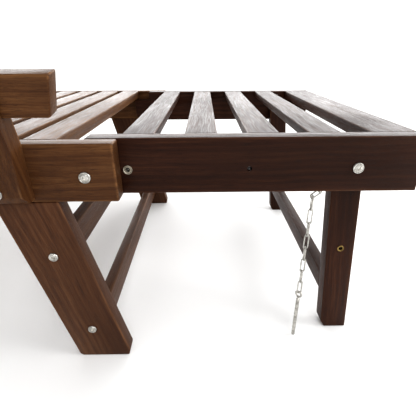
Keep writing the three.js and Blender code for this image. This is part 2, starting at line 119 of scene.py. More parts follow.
class Nodes:
    """A short way to build one node tree."""

    def __init__(self, tree: bpy.types.NodeTree) -> None:
        """Empties the tree and keeps it."""
        self.tree = tree
        tree.nodes.clear()

    def add(self, kind: str, settings: dict | None = None, **inputs: object) -> bpy.types.Node:
        """Adds a node.

        Args:
            kind: The node's Blender type.
            settings: Values for the node's own properties.
            inputs: Values or output sockets, by input name with spaces as underscores.

        Returns:
            The new node.
        """
        node = self.tree.nodes.new(kind)
        for name, value in (settings or {}).items():
            setattr(node, name, value)
        for name, value in inputs.items():
            self.feed(node.inputs[name.replace("_", " ")], value)
        return node

    def feed(self, socket: bpy.types.NodeSocket, value: object) -> None:
        """Links an output socket to an input, or sets the input's value.

        Args:
            socket: The input.
            value: An output socket or a plain value.
        """
        if isinstance(value, bpy.types.NodeSocket):
            self.tree.links.new(value, socket)
        else:
            socket.default_value = value

    def math(self, operation: str, *terms: object, kind: str = "ShaderNodeMath") -> bpy.types.NodeSocket:
        """Adds a Math or Vector Math node.

        Args:
            operation: What it does.
            terms: Values or output sockets, in order.
            kind: The node's Blender type.

        Returns:
            Its output.
        """
        node = self.add(kind, {"operation": operation})
        for socket, term in zip(node.inputs, terms):
            self.feed(socket, term)
        return node.outputs[0]

    def attribute(self, name: str) -> bpy.types.NodeSocket:
        """Reads a vector attribute of the mesh in a material."""
        return self.add("ShaderNodeAttribute", {"attribute_name": name}).outputs["Vector"]

    def surface(self, constants: dict[str, float], **inputs: object) -> None:
        """Ends a material in a Principled shader, with its constants set on its sockets.

        Args:
            constants: Values by input name.
            inputs: Values or output sockets, by input name with spaces as underscores.
        """
        shader = self.add("ShaderNodeBsdfPrincipled", **inputs)
        for name, value in constants.items():
            shader.inputs[name].default_value = value
        self.add("ShaderNodeOutputMaterial", Surface=shader.outputs[0])

    def total(self, parts: Sequence[object], shares: Sequence[float]) -> bpy.types.NodeSocket:
        """Adds up sockets, each times its share, and returns the sum."""
        weighed = [self.math("MULTIPLY", part, share) for part, share in zip(parts, shares)]
        return reduce(lambda a, b: self.math("ADD", a, b), weighed)

    def span(
        self, value: object, low: float, high: float, to: tuple[float, float] = (0, 1)
    ) -> bpy.types.NodeSocket:
        """Maps one range to another, clamped.

        Args:
            value: What is mapped.
            low: Start of its range.
            high: End of its range.
            to: The new range.

        Returns:
            The output.
        """
        node = self.add("ShaderNodeMapRange", {"clamp": True}, Value=value, From_Min=low, From_Max=high)
        self.feed(node.inputs["To Min"], to[0])
        self.feed(node.inputs["To Max"], to[1])
        return node.outputs[0]

    def mix(self, factor: object, a: object, b: object) -> bpy.types.NodeSocket:
        """Mixes two colours.

        Args:
            factor: Share of the second colour.
            a: The first colour.
            b: The second colour.

        Returns:
            The output.
        """
        node = self.add("ShaderNodeMix", {"data_type": "RGBA"})
        self.feed(node.inputs["Factor"], factor)
        for socket, value in zip([s for s in node.inputs if s.type == "RGBA"], (a, b)):
            self.feed(socket, value if isinstance(value, bpy.types.NodeSocket) else (*value, 1.0))
        return [s for s in node.outputs if s.type == "RGBA"][0]

    def noise(self, vector: object, layer: Layer) -> bpy.types.NodeSocket:
        """Adds a noise layer.

        Args:
            vector: Where it is read.
            layer: Its frequencies and detail.

        Returns:
            Its factor.
        """
        mapped = self.add("ShaderNodeMapping", {"vector_type": "POINT"}, Vector=vector, Scale=layer.stretch)
        given = {"Vector": mapped.outputs[0], "Scale": 1.0, "Detail": layer.detail, "Roughness": layer.rough}
        return self.add("ShaderNodeTexNoise", **given).outputs[0]


def blank(name: str) -> tuple[bpy.types.Material, Nodes]:
    """Makes a material with an empty tree.

    Args:
        name: The material's name.

    Returns:
        The material and its tree.
    """
    made = bpy.data.materials.new(name)
    made.use_nodes = True
    return made, Nodes(made.node_tree)


@dataclass(frozen=True)
class OiledWood:
    """Oil-stained hardwood whose grain follows each board.

    Reads three attributes of a board: grain (its own coordinates, length first, shifted for
    each board), rim_low and rim_high (distances to its faces). The tone's shares are those of
    streaks, fibres, figure and rings, and the relief's are those of fibres, pores and streaks.
    """

    name: str
    slot: str
    dark: Color
    middle: Color
    light: Color
    end_grain: Color
    roughness: float = 0.42
    coat: float = 0.03
    specular: float = 0.10
    coat_roughness: float = 0.38
    fibre_depth: float = 0.35 * MM
    wander: tuple[float, float, float] = (0.0, 0.018, 0.018)
    tone_shares: tuple[float, ...] = (0.36, 0.40, 0.36, 0.06)
    tone_stops: tuple[float, float, float] = (0.40, 0.58, 0.80)
    relief_shares: tuple[float, ...] = (0.55, -0.6, 0.5)
    relief: float = 0.8
    gloss_changes: tuple[tuple[float, float], ...] = ((-0.12, 0.16), (-0.04, 0.06), (-0.05, 0.06))
    blotch_strength: float = 0.62
    pore_edge: tuple[float, float] = (0.60, 0.70)
    pore_strength: float = 0.45
    end_fibre: tuple[float, float] = (0.4, 0.62)
    end_strength: float = 0.75
    # The painted highlight along the arrises, with some rubbed stain: where the streaks let it show and how
    # strong it is.
    arris_wear_and_highlight_streak: tuple[float, float] = (0.45, 0.62)
    arris_wear_and_highlight_strength: tuple[float, float] = (0.15, 0.85)
    end_depth: tuple[float, float] = (1.2 * MM, 0.4 * MM)
    arris_depth: tuple[float, float] = (3.5 * MM, 0.8 * MM)

    def material(self) -> bpy.types.Material:
        """Builds the material.

        Returns:
            The new material.
        """
        made, n = blank(self.name)
        grain = n.attribute("grain")
        drift = n.add("ShaderNodeTexNoise", Vector=grain, Scale=5.0, Detail=2.0).outputs["Color"]
        bent_grain = n.math("MULTIPLY_ADD", drift, self.wander, grain, kind=VECTOR_MATH)
        fibre = n.noise(bent_grain, FIBRE)
        streak = n.noise(bent_grain, STREAK)
        figure = n.noise(bent_grain, FIGURE)
        pores = n.span(n.noise(bent_grain, PORES), *self.pore_edge)
        blotch = n.noise(grain, BLOTCH)
        tone = n.total((streak, fibre, figure, self.rings(n, bent_grain)), self.tone_shares)
        ramp = n.add("ShaderNodeValToRGB", Fac=tone)
        first, last = ramp.color_ramp.elements
        first.position, first.color = self.tone_stops[0], (*self.dark, 1)
        last.position, last.color = self.tone_stops[2], (*self.light, 1)
        ramp.color_ramp.elements.new(self.tone_stops[1]).color = (*self.middle, 1)
        stained = n.span(blotch, *PATCH_EDGE, (0.0, self.blotch_strength))
        colour = n.mix(stained, ramp.outputs[0], self.dark)
        colour = n.mix(n.math("MULTIPLY", pores, self.pore_strength), colour, self.end_grain)
        ends, rim = self.faces(n)
        end_tone = n.mix(n.span(fibre, *self.end_fibre), self.end_grain, self.middle)
        colour = n.mix(n.math("MULTIPLY", ends, self.end_strength), colour, end_tone)
        # Painted highlight: the arrises are lightened towards the light tone, standing for the sheen along
        # them as well as rubbed stain.
        arris_wear_and_highlight = n.math("MULTIPLY", rim, n.span(streak, *self.arris_wear_and_highlight_streak, self.arris_wear_and_highlight_strength))
        colour = n.mix(arris_wear_and_highlight, colour, self.light)
        rough = self.roughness
        for layer, change in zip((fibre, streak, blotch), self.gloss_changes):
            rough = n.math("ADD", n.span(layer, *NOISE_SPAN, change), rough)
        height = n.total((fibre, pores, streak), self.relief_shares)
        bump = n.add("ShaderNodeBump", Strength=self.relief, Distance=self.fibre_depth, Height=height)
        constants = {
            "Specular IOR Level": self.specular,
            "Coat Weight": self.coat,
            "Coat Roughness": self.coat_roughness,
        }
        n.surface(constants, Base_Color=colour, Roughness=rough, Normal=bump.outputs[0])
        return made

    def rings(self, n: Nodes, grain: bpy.types.NodeSocket) -> bpy.types.NodeSocket:
        """Adds the faint bands of yearly rings.

        Args:
            n: The material's tree.
            grain: The board's own coordinates.

        Returns:
            Their strength.
        """
        mapped = n.add("ShaderNodeMapping", Vector=grain, Scale=(0.25, 1.0, 1.0))
        return n.add(
            "ShaderNodeTexWave", {"wave_type": "RINGS", "rings_direction": "X"},
            Vector=mapped.outputs[0], Scale=34.0, Distortion=2.4, Detail=2.0, Detail_Scale=1.2,
        ).outputs["Fac"]

    def faces(self, n: Nodes) -> tuple[bpy.types.NodeSocket, bpy.types.NodeSocket]:
        """Finds the sawn ends, and the arrises that get a painted highlight with some rubbed stain, from the
        distances to the board's faces.

        Args:
            n: The material's tree.

        Returns:
            A mask of the ends and a mask of the arrises, where the painted highlight goes.
        """
        near = n.math("MINIMUM", n.attribute("rim_low"), n.attribute("rim_high"), kind=VECTOR_MATH)
        along, wide, thick = n.add("ShaderNodeSeparateXYZ", Vector=near).outputs[:3]
        lower = n.math("MINIMUM", along, wide)
        upper = n.math("MAXIMUM", along, wide)
        second = n.math("MAXIMUM", lower, n.math("MINIMUM", upper, thick))
        return n.span(along, *self.end_depth), n.span(second, *self.arris_depth)


@dataclass(frozen=True)
class Plated:
    """Plated or bare metal with rolled marks and dulled patches."""

    name: str
    slot: str
    bright: Color
    dull: Color
    roughness: float
    polish: float = 0.06
    dulling: float = 0.14
    mark_strength: float = 0.25
    mark_depth: float = 0.1 * MM
    metallic: float = 1.0

    def material(self) -> bpy.types.Material:
        """Builds the material.

        Returns:
            The new material.
        """
        made, n = blank(self.name)
        place = n.add("ShaderNodeTexCoord").outputs["Object"]
        patch = n.noise(place, PATCHES)
        marks = n.noise(place, ROLLED)
        colour = n.mix(n.span(patch, *PATCH_EDGE), self.bright, self.dull)
        rough = n.span(patch, *NOISE_SPAN, (self.roughness - self.polish, self.roughness + self.dulling))
        bump = n.add("ShaderNodeBump", Strength=self.mark_strength, Distance=self.mark_depth, Height=marks)
        n.surface({"Metallic": self.metallic}, Base_Color=colour, Roughness=rough, Normal=bump.outputs[0])
        return made


SEAT_WOOD = OiledWood(
    "seat_wood", "seat_wood",
    dark=(0.033, 0.0125, 0.0055), middle=(0.087, 0.0355, 0.0122), light=(0.172, 0.083, 0.032),
    end_grain=(0.020, 0.010, 0.006),
)
LEG_WOOD = OiledWood(
    "leg_wood", "seat_wood",
    dark=(0.032, 0.0128, 0.0070), middle=(0.078, 0.0320, 0.0142), light=(0.150, 0.0710, 0.0335),
    end_grain=(0.020, 0.010, 0.006),
)
WING_WOOD = OiledWood(
    "wing_wood", "wing_wood",
    dark=(0.0125, 0.0040, 0.0020), middle=(0.034, 0.0106, 0.0046), light=(0.072, 0.028, 0.0122),
    end_grain=(0.010, 0.005, 0.003),
)
ZINC = Plated(
    "zinc_steel", "zinc_steel", bright=(0.56, 0.545, 0.51), dull=(0.30, 0.29, 0.265), roughness=0.24
)
# Painted shade: a darker, browner steel for the hold-up bushes that copies the dim look of their recess.
RECESS_SHADE_STEEL = Plated(
    "worn_steel", "zinc_steel", bright=(0.36, 0.33, 0.27), dull=(0.20, 0.175, 0.135), roughness=0.34
)
BRASS = Plated("brass", "brass", bright=(0.30, 0.21, 0.075), dull=(0.12, 0.08, 0.03), roughness=0.36)


class Finishes:
    """The object's materials, made once each."""

    def __init__(self) -> None:
        """Starts with none made."""
        self.made: dict[str, bpy.types.Material] = {}

    def of(self, finish: OiledWood | Plated) -> bpy.types.Material:
        """Makes a finish's material the first time that it is asked for.

        Args:
            finish: The finish.

        Returns:
            Its material.
        """
        if finish.name not in self.made:
            self.made[finish.name] = finish.material()
        return self.made[finish.name]


FINISHES = Finishes()


# ---------------------------------------------------------------- boards


class Rounding(Enum):
    """Which edges of a board are eased."""

    OUTLINE = "the board's outline on both faces"
    LENGTH = "the long edges only"


@dataclass(frozen=True)
class Lie:
    """How a board lies: unit vectors along its length and across its width."""

    along: Vector
    wide: Vector

    @property
    def thick(self) -> Vector:
        """The direction through the board."""
        return self.along.cross(self.wide).normalized()

    def place(self, point: Vector) -> Vector:
        """Returns a point in the board's own coordinates, length first."""
        return Vector((point.dot(self.along), point.dot(self.wide), point.dot(self.thick)))


def tilted(end: int, angle: float) -> Lie:
    """How a leg lies that leans outwards at one end of the seat.

    Args:
        end: -1 for the left end, 1 for the right.
        angle: Lean from upright, in radians.

    Returns:
        The leg's lie, with its length running down.
    """
    sin, cos = math.sin(angle), math.cos(angle)
    return Lie(Vector((end * sin, 0, -cos)), Vector((cos, 0, end * sin)))


def leaning(angle: float) -> Lie:
    """How an upright lies that leans back, with its length running up."""
    return Lie(Vector((0, -math.sin(angle), math.cos(angle))), X_AXIS)


LONG = Lie(X_AXIS, Z_AXIS)
CROSS_FLAT = Lie(Y_AXIS, X_AXIS)
CROSS_UPRIGHT = Lie(Y_AXIS, Z_AXIS)


def linked(name: str, data: bpy.types.ID) -> bpy.types.Object:
    """Puts a mesh, a lamp or a camera in the scene under a name.

    Args:
        name: The object's name.
        data: What it shows.

    Returns:
        The new object.
    """
    made = bpy.data.objects.new(name, data)
    bpy.context.scene.collection.objects.link(made)
    return made


def plain(name: str, bm: bmesh.types.BMesh) -> bpy.types.Mesh:
    """Turns a working mesh into a mesh and frees it.

    Args:
        name: The mesh's name.
        bm: The working mesh.

    Returns:
        The mesh.
    """
    mesh = bpy.data.meshes.new(name)
    bm.to_mesh(mesh)
    bm.free()
    return mesh


def eased_edges(bm: bmesh.types.BMesh, lie: Lie, rounding: Rounding) -> list[bmesh.types.BMEdge]:
    """Finds the edges that a maker would ease.

    Args:
        bm: The board, with its flat faces already whole.
        lie: How it lies.
        rounding: Which edges are wanted.

    Returns:
        The edges.
    """
    depths = [v.co.dot(lie.thick) for v in bm.verts]
    low, high = min(depths), max(depths)
    lengths = [v.co.dot(lie.along) for v in bm.verts]
    whole = max(lengths) - min(lengths)
    least_edge, slack = 4 * MM, 0.2 * MM

    def whole_face(face: bmesh.types.BMFace) -> bool:
        """Whether a face is a broad face, or an edge face that runs through the board.

        Args:
            face: The face.

        Returns:
            True if it is.
        """
        spots = [v.co.dot(lie.thick) for v in face.verts]
        through = min(spots) < low + slack and max(spots) > high - slack
        flat = max(spots) - min(spots) < slack and (min(spots) < low + slack or max(spots) > high - slack)
        return through or flat

    found = []
    for edge in bm.edges:
        if len(edge.link_faces) != 2 or edge.calc_length() < least_edge or not edge.is_convex:
            continue
        if edge.calc_face_angle() < LEAST_TURN:
            continue
        if rounding is Rounding.LENGTH:
            run = abs((edge.verts[0].co - edge.verts[1].co).dot(lie.along))
            if run > LONG_SHARE * whole:
                found.append(edge)
        elif all(whole_face(face) for face in edge.link_faces):
            found.append(edge)
    return found


def eased_mesh(
    name: str, source: bpy.types.Mesh, lie: Lie, radius: float, rounding: Rounding
) -> bpy.types.Mesh:
    """Copies a board's mesh with its flat faces made whole and its edges eased.

    Args:
        name: The new mesh's name.
        source: The board.
        lie: How it lies.
        radius: Radius of the eased edges.
        rounding: Which edges are eased.

    Returns:
        The new mesh, with the attributes that the wood finishes read.
    """
    bm = bmesh.new()
    bm.from_mesh(source)
    bmesh.ops.remove_doubles(bm, verts=bm.verts, dist=WELD)
    bmesh.ops.dissolve_limit(bm, angle_limit=FLATNESS, verts=bm.verts, edges=bm.edges)
    spots = [lie.place(v.co) for v in bm.verts]
    low = Vector(min(p[i] for p in spots) for i in range(3))
    high = Vector(max(p[i] for p in spots) for i in range(3))
    edges = eased_edges(bm, lie, rounding)
    bmesh.ops.bevel(
        bm, geom=edges, offset=radius, offset_type="OFFSET", segments=3, profile=0.5,
        affect="EDGES", clamp_overlap=False,
    )
    for face in bm.faces:
        face.smooth = True
    mesh = plain(name, bm)
    mesh.set_sharp_from_angle(angle=BOARD_SHARP)
    mark_grain(mesh, lie, low, high, random.Random(f"{SEED}{name}"))
    return mesh


def mark_grain(mesh: bpy.types.Mesh, lie: Lie, low: Vector, high: Vector, chance: random.Random) -> None:
    """Stores a board's own coordinates and its distances to its faces on its points.

    Args:
        mesh: The board's mesh, which is changed.
        lie: How it lies.
        low: Its lowest corner in its own coordinates.
        high: Its highest corner in its own coordinates.
        chance: Where the board was sawn from.
    """
    shift = Vector(chance.uniform(least, size) for least, size in zip((0, HEART, HEART), TIMBER))
    spots = [lie.place(v.co) for v in mesh.vertices]
    columns = {
        "grain": [p - low + shift for p in spots],
        "rim_low": [p - low for p in spots],
        "rim_high": [high - p for p in spots],
    }
    for name, values in columns.items():
        layer = mesh.attributes.new(name, "FLOAT_VECTOR", "POINT")
        layer.data.foreach_set("vector", [c for value in values for c in value])


def board(
    node: str, lie: Lie, radius: float, finish: OiledWood, body: str, rounding: Rounding = Rounding.OUTLINE
) -> bpy.types.Object:
    """Replaces a CAD board with an eased copy.

    Args:
        node: The CAD node.
        lie: How it lies.
        radius: Radius of its eased edges.
        finish: Its wood.
        body: The body it rides on.
        rounding: Which edges are eased.

    Returns:
        The new piece.
    """
    mesh = eased_mesh(f"{node}_board", frame["nodes"][node].data, lie, radius, rounding)
    mesh.materials.append(FINISHES.of(finish))
    piece = linked(f"{node}_board", mesh)
    return settle(piece, body, [node])


def settle(piece: bpy.types.Object, body: str, nodes: Sequence[str] = ()) -> bpy.types.Object:
    """Gives a finished piece its body and hides the CAD nodes it stands for.

    Args:
        piece: The piece.
        body: The body that it rides on.
        nodes: The CAD nodes that it stands for.

    Returns:
        The piece.
    """
    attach(piece, body)
    if nodes:
        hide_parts(*nodes)
    LOG.info("%s: %d faces, rides on %s", piece.name, len(piece.data.polygons), body)
    return piece


# ---------------------------------------------------------------- repeats by geometry nodes


class Pattern:
    """A geometry node tree with named inputs that ends in Realize Instances and Set Material."""

    def __init__(self, name: str, inputs: dict[str, str]) -> None:
        """Makes the tree and its inputs.

        Args:
            name: The tree's name.
            inputs: Socket types by input name.
        """
        self.tree = bpy.data.node_groups.new(name, "GeometryNodeTree")
        self.n = Nodes(self.tree)
        face = self.tree.interface
        face.new_socket("Geometry", in_out="OUTPUT", socket_type="NodeSocketGeometry")
        face.new_socket("Geometry", in_out="INPUT", socket_type="NodeSocketGeometry")
        self.ids = {
            key: face.new_socket(key, in_out="INPUT", socket_type=kind).identifier
            for key, kind in inputs.items()
        }
        self.inputs = self.n.add("NodeGroupInput").outputs

    def instances(self, shape: str, **placing: object) -> bpy.types.NodeSocket:
        """Sets an object at points.

        Args:
            shape: Name of the input that holds the object.
            placing: Inputs of the instancing node, by name.

        Returns:
            The instances.
        """
        chosen = self.inputs[shape]
        source = self.n.add("GeometryNodeObjectInfo", {"transform_space": "ORIGINAL"}, Object=chosen)
        placing["Instance"] = source.outputs["Geometry"]
        return self.n.add("GeometryNodeInstanceOnPoints", **placing).outputs[0]

    def close(self, instances: bpy.types.NodeSocket) -> None:
        """Ends the tree: real geometry with its finish.

        Args:
            instances: What the tree has set out.
        """
        n = self.n
        real = n.add("GeometryNodeRealizeInstances", Geometry=instances)
        dressed = n.add("GeometryNodeSetMaterial", Geometry=real.outputs[0], Material=self.inputs["Finish"])
        n.add("NodeGroupOutput", Geometry=dressed.outputs[0])

    def grown(self, name: str, seed_mesh: bpy.types.Mesh, values: dict[str, object]) -> bpy.types.Object:
        """Runs the tree on a mesh and returns the result as a plain piece.

        Args:
            name: The piece's name.
            seed_mesh: The mesh that the tree starts from.
            values: Input values by name.

        Returns:
            The piece, with no modifier.
        """
        holder = linked(f"{name}_seed", seed_mesh)
        modifier = holder.modifiers.new("pattern", "NODES")
        modifier.node_group = self.tree
        for key, value in values.items():
            modifier[self.ids[key]] = value
        graph = bpy.context.evaluated_depsgraph_get()
        mesh = bpy.data.meshes.new_from_object(holder.evaluated_get(graph))
        bpy.data.objects.remove(holder)
        mesh.name = name
        return linked(name, mesh)


class BoardRow(Pattern):
    """Equal boards set out in a row along X, each sawn from its own place in the timber."""

    def __init__(self) -> None:
        """Builds the tree."""
        super().__init__(
            "board_row",
            {
                "Board": "NodeSocketObject", "Count": "NodeSocketInt", "Pitch": "NodeSocketFloat",
                "Seed": "NodeSocketInt", "Finish": "NodeSocketMaterial",
            },
        )
        n, wired = self.n, self.inputs
        step = n.add("ShaderNodeCombineXYZ", X=wired["Pitch"])
        line = n.add("GeometryNodeMeshLine", Count=wired["Count"], Offset=step.outputs[0])
        placed = self.instances("Board", Points=line.outputs[0])
        chance = n.add("FunctionNodeRandomValue", {"data_type": "FLOAT_VECTOR"})
        n.feed(chance.inputs["Max"], TIMBER)
        n.feed(chance.inputs["Seed"], wired["Seed"])
        keep = {"data_type": "FLOAT_VECTOR", "domain": "INSTANCE"}
        shifted = n.add("GeometryNodeStoreNamedAttribute", keep, Geometry=placed, Name="sawn_from")
        n.feed(shifted.inputs["Value"], chance.outputs[0])
        real = n.add("GeometryNodeRealizeInstances", Geometry=shifted.outputs[0])
        reading = {"data_type": "FLOAT_VECTOR"}
        grain = n.add("GeometryNodeInputNamedAttribute", reading, Name="grain").outputs["Attribute"]
        sawn = n.add("GeometryNodeInputNamedAttribute", reading, Name="sawn_from").outputs["Attribute"]
        total = n.math("ADD", grain, sawn, kind=VECTOR_MATH)
        keep = {"data_type": "FLOAT_VECTOR", "domain": "POINT"}
        grained = n.add("GeometryNodeStoreNamedAttribute", keep, Geometry=real.outputs[0], Name="grain")
        n.feed(grained.inputs["Value"], total)
        self.close(grained.outputs[0])

    def set_out(
        self, name: str, first: bpy.types.Mesh, count: int, pitch: float, finish: OiledWood, seed: int
    ) -> bpy.types.Object:
        """Sets out a row.

        Args:
            name: The piece's name.
            first: The leftmost board, in its place.
            count: Number of boards.
            pitch: Distance between neighbours.
            finish: Their wood.
            seed: Seed for where each is sawn from.

        Returns:
            The row as one piece.
        """
        template = linked(f"{name}_first", first)
        values = {
            "Board": template, "Count": count, "Pitch": pitch, "Seed": seed, "Finish": FINISHES.of(finish),
        }
        row = self.grown(name, bpy.data.meshes.new(f"{name}_start"), values)
        bpy.data.objects.remove(template)
        row.data.set_sharp_from_angle(angle=BOARD_SHARP)
        return row


class FittingSet(Pattern):
    """One fitting set at many points, each facing its own way."""

    def __init__(self) -> None:
        """Builds the tree."""
        super().__init__(
            "fitting_set",
            {"Fitting": "NodeSocketObject", "Size": "NodeSocketFloat", "Finish": "NodeSocketMaterial"},
        )
        n, wired = self.n, self.inputs
        facing = n.add("GeometryNodeInputNamedAttribute", {"data_type": "FLOAT_VECTOR"}, Name="facing")
        turn = n.add("FunctionNodeAlignRotationToVector", {"axis": "Z"}, Vector=facing.outputs["Attribute"])
        placing = {"Points": wired["Geometry"], "Rotation": turn.outputs[0], "Scale": wired["Size"]}
        self.close(self.instances("Fitting", **placing))

    def fit(
        self, name: str, fitting: bpy.types.Mesh, spots: Sequence[Spot], finish: Plated
    ) -> bpy.types.Object:
        """Puts a fitting at each spot.

        Args:
            name: The piece's name.
            fitting: The fitting at the origin, facing +Z.
            spots: A place and a facing for each.
            finish: Their metal.

        Returns:
            The fittings as one piece.
        """
        points = bpy.data.meshes.new(f"{name}_points")
        points.from_pydata([tuple(place) for place, _ in spots], [], [])
        layer = points.attributes.new("facing", "FLOAT_VECTOR", "POINT")
        layer.data.foreach_set("vector", [c for _, way in spots for c in way])
        template = linked(f"{name}_one", fitting)
        piece = self.grown(name, points, {"Fitting": template, "Size": 1.0, "Finish": FINISHES.of(finish)})
        bpy.data.objects.remove(template)
        return piece


class LinkRun(Pattern):
    """Links hanging in a line down Z, every other one turned a quarter."""

    def __init__(self) -> None:
        """Builds the tree."""
        super().__init__(
            "link_run",
            {
                "Link": "NodeSocketObject", "Top": "NodeSocketVector", "Count": "NodeSocketInt",
                "Pitch": "NodeSocketFloat", "Finish": "NodeSocketMaterial",
            },
        )
        n, wired = self.n, self.inputs
        drop = n.math("MULTIPLY", wired["Pitch"], -1.0)
        step = n.add("ShaderNodeCombineXYZ", Z=drop)
        line = n.add(
            "GeometryNodeMeshLine", Count=wired["Count"], Start_Location=wired["Top"], Offset=step.outputs[0]
        )
        index = n.add("GeometryNodeInputIndex").outputs[0]
        odd = n.math("MODULO", n.math("ADD", index, 1.0), 2.0)
        turn = n.add("ShaderNodeCombineXYZ", Z=n.math("MULTIPLY", odd, math.pi / 2))
        self.close(self.instances("Link", Points=line.outputs[0], Rotation=turn.outputs[0]))


# ---------------------------------------------------------------- small turned and bent metal


def ring(bm: bmesh.types.BMesh, radii: Sequence[float], height: float) -> list[bmesh.types.BMVert]:
    """Adds a ring of points about Z, with one radius for each step round it."""
    turns = [2 * math.pi * i / len(radii) for i in range(len(radii))]
    return [bm.verts.new((r * math.cos(a), r * math.sin(a), height)) for r, a in zip(radii, turns)]


def skinned(
    name: str, bm: bmesh.types.BMesh, rings: Sequence[list[bmesh.types.BMVert]], looped: bool
) -> bpy.types.Mesh:
    """Joins rings of points, or single points, into a closed solid.

    Args:
        name: The mesh's name.
        bm: The working mesh that holds the points.
        rings: The rings in order, with equal steps.
        looped: Whether the last ring joins the first, instead of both being capped.

    Returns:
        The mesh, with its faces outwards.
    """
    pairs = list(zip(rings, rings[1:])) + ([(rings[-1], rings[0])] if looped else [])
    steps = max(len(points) for points in rings)
    for below, above in pairs:
        for i in range(steps):
            j = (i + 1) % steps
            corners = [below[k % len(below)] for k in (i, j)] + [above[k % len(above)] for k in (j, i)]
            bm.faces.new(list(dict.fromkeys(corners)))
    for end in (rings[0], rings[-1]):
        if not looped and len(end) > 1:
            bm.faces.new(end)
    bmesh.ops.recalc_face_normals(bm, faces=bm.faces)
    return finished(name, bm)


def turned(name: str, profile: Sequence[tuple[float, float]], steps: int = 28) -> bpy.types.Mesh:
    """Turns a profile of (radius, height) about Z into a closed solid.

    Args:
        name: The mesh's name.
        profile: Points from one end of the axis to the other, or a closed loop off the axis.
        steps: Faces round the axis.

    Returns:
        The mesh, with its faces outwards.
    """
    bm = bmesh.new()
    rings = [ring(bm, [radius] * (steps if radius else 1), height) for radius, height in profile]
    return skinned(name, bm, rings, looped=bool(profile[0][0] and profile[-1][0]))


def stacked(name: str, layers: Sequence[tuple[Sequence[float], float]]) -> bpy.types.Mesh:
    """Joins rings, each given by its radii and height, into a capped solid."""
    bm = bmesh.new()
    return skinned(name, bm, [ring(bm, radii, height) for radii, height in layers], looped=False)


def hexagon(across: float, steps: int) -> list[float]:
    """Measures a hexagon from its middle.

    Args:
        across: Distance across its flats.
        steps: Points round it.

    Returns:
        Its radius at each step.
    """
    sixth = math.pi / 3
    turns = [2 * math.pi * i / steps for i in range(steps)]
    return [across / 2 / math.cos((a + sixth / 2) % sixth - sixth / 2) for a in turns]


def finished(name: str, bm: bmesh.types.BMesh) -> bpy.types.Mesh:
    """Turns a working mesh into a smooth-shaded one with its sharp edges kept.

    Args:
        name: The mesh's name.
        bm: The working mesh, which is freed.

    Returns:
        The mesh.
    """
    for face in bm.faces:
        face.smooth = True
    mesh = plain(name, bm)
    mesh.set_sharp_from_angle(angle=METAL_SHARP)
    return mesh


def swept(name: str, path: Sequence[Vector], radius: float, closed: bool, sides: int = 10) -> bpy.types.Mesh:
    """Sweeps round wire along a flat path.

    Args:
        name: The mesh's name.
        path: Points of the wire's middle, all in one plane.
        radius: Half the wire's thickness.
        closed: Whether the path's end joins its start.
        sides: Faces round the wire.

    Returns:
        The mesh.
    """
    bm = bmesh.new()
    count = len(path)
    normal = Vector((0, 0, 0))
    for i in range(1, count - 1):
        normal += (path[i] - path[0]).cross(path[i + 1] - path[0])
    normal.normalize()
    rings = []
    for i, point in enumerate(path):
        before = path[i - 1] if closed or i else point
        after = path[(i + 1) % count] if closed or i < count - 1 else point
        side = normal.cross((after - before).normalized())
        angles = [2 * math.pi * k / sides for k in range(sides)]
        spokes = [math.cos(a) * side + math.sin(a) * normal for a in angles]
        rings.append([bm.verts.new(point + radius * spoke) for spoke in spokes])
    return skinned(name, bm, rings, looped=closed)


def stadium(length: float, width: float, steps: int = 8) -> list[Vector]:
    """Draws a long loop in the XZ plane, centred on the origin with its length along Z.

    Args:
        length: Its whole length.
        width: Its whole width.
        steps: Faces in each half round.

    Returns:
        Points of its line, in order.
    """
    radius, reach = width / 2, (length - width) / 2
    points = []
    for centre, start in ((reach, 0.0), (-reach, math.pi)):
        for i in range(steps + 1):
            angle = start + math.pi * i / steps
            points.append(Vector((radius * math.cos(angle), 0, centre + radius * math.sin(angle))))
    return points


@dataclass(frozen=True)
class SocketHead:
    """A flat bolt head with a turned rim and a hexagonal socket, facing +Z."""

    diameter: float = 16 * MM
    height: float = 2.6 * MM
    socket: float = 5 * MM
    socket_depth: float = 1.8 * MM

    def mesh(self, name: str) -> bpy.types.Mesh:
        """Builds the head.

        Args:
            name: The mesh's name.

        Returns:
            The closed mesh.
        """
        steps, radius, top = 36, self.diameter / 2, self.height
        profile = [
            (radius, 0.0), (radius, top * 0.45), (radius * 0.955, top * 0.80), (radius * 0.88, top),
            (radius * 0.80, top), (radius * 0.74, top * 0.72), (radius * 0.64, top * 0.70),
            (radius * 0.57, top * 0.96), (radius * 0.53, top),
        ]
        socket = hexagon(self.socket, steps)
        layers = [([r] * steps, z) for r, z in profile]
        return stacked(name, layers + [(socket, top * 0.99), (socket, top - self.socket_depth)])


def hex_nut(name: str, across: float, height: float, bore: float) -> bpy.types.Mesh:
    """A hexagonal nut standing on z = 0 with chamfered corners and a bolt's end in its bore.

    Args:
        name: The mesh's name.
        across: Distance across its flats.
        height: Its height.
        bore: Diameter of the bolt's end.

    Returns:
        The closed mesh.
    """
    steps = 36
    flat = hexagon(across, steps)
    face = across / 2 * 0.97
    layers = [
        ([min(r, face * 1.06) for r in flat], 0.0),
        (flat, height * 0.10),
        (flat, height * 0.86),
        ([min(r, face) for r in flat], height),
        ([bore / 2 * 1.12] * steps, height),
        ([bore / 2] * steps, height * 0.93),
        ([bore / 2] * steps, height * 1.18),
        ([bore / 2 * 0.8] * steps, height * 1.28),
    ]
    return stacked(name, layers)


def washer(name: str, outer: float, inner: float, thickness: float) -> bpy.types.Mesh:
    """Turns a flat washer that stands on z = 0, with its rim eased.

    Args:
        name: The mesh's name.
        outer: Its radius.
        inner: Radius of its hole.
        thickness: Its thickness.

    Returns:
        The closed mesh.
    """
    ease = 0.2 * MM
    profile = [
        (inner, 0), (outer - ease, 0), (outer, ease), (outer, thickness - ease), (outer - ease, thickness),
        (inner, thickness),
    ]
    return turned(name, profile)


# ---------------------------------------------------------------- sub-assemblies


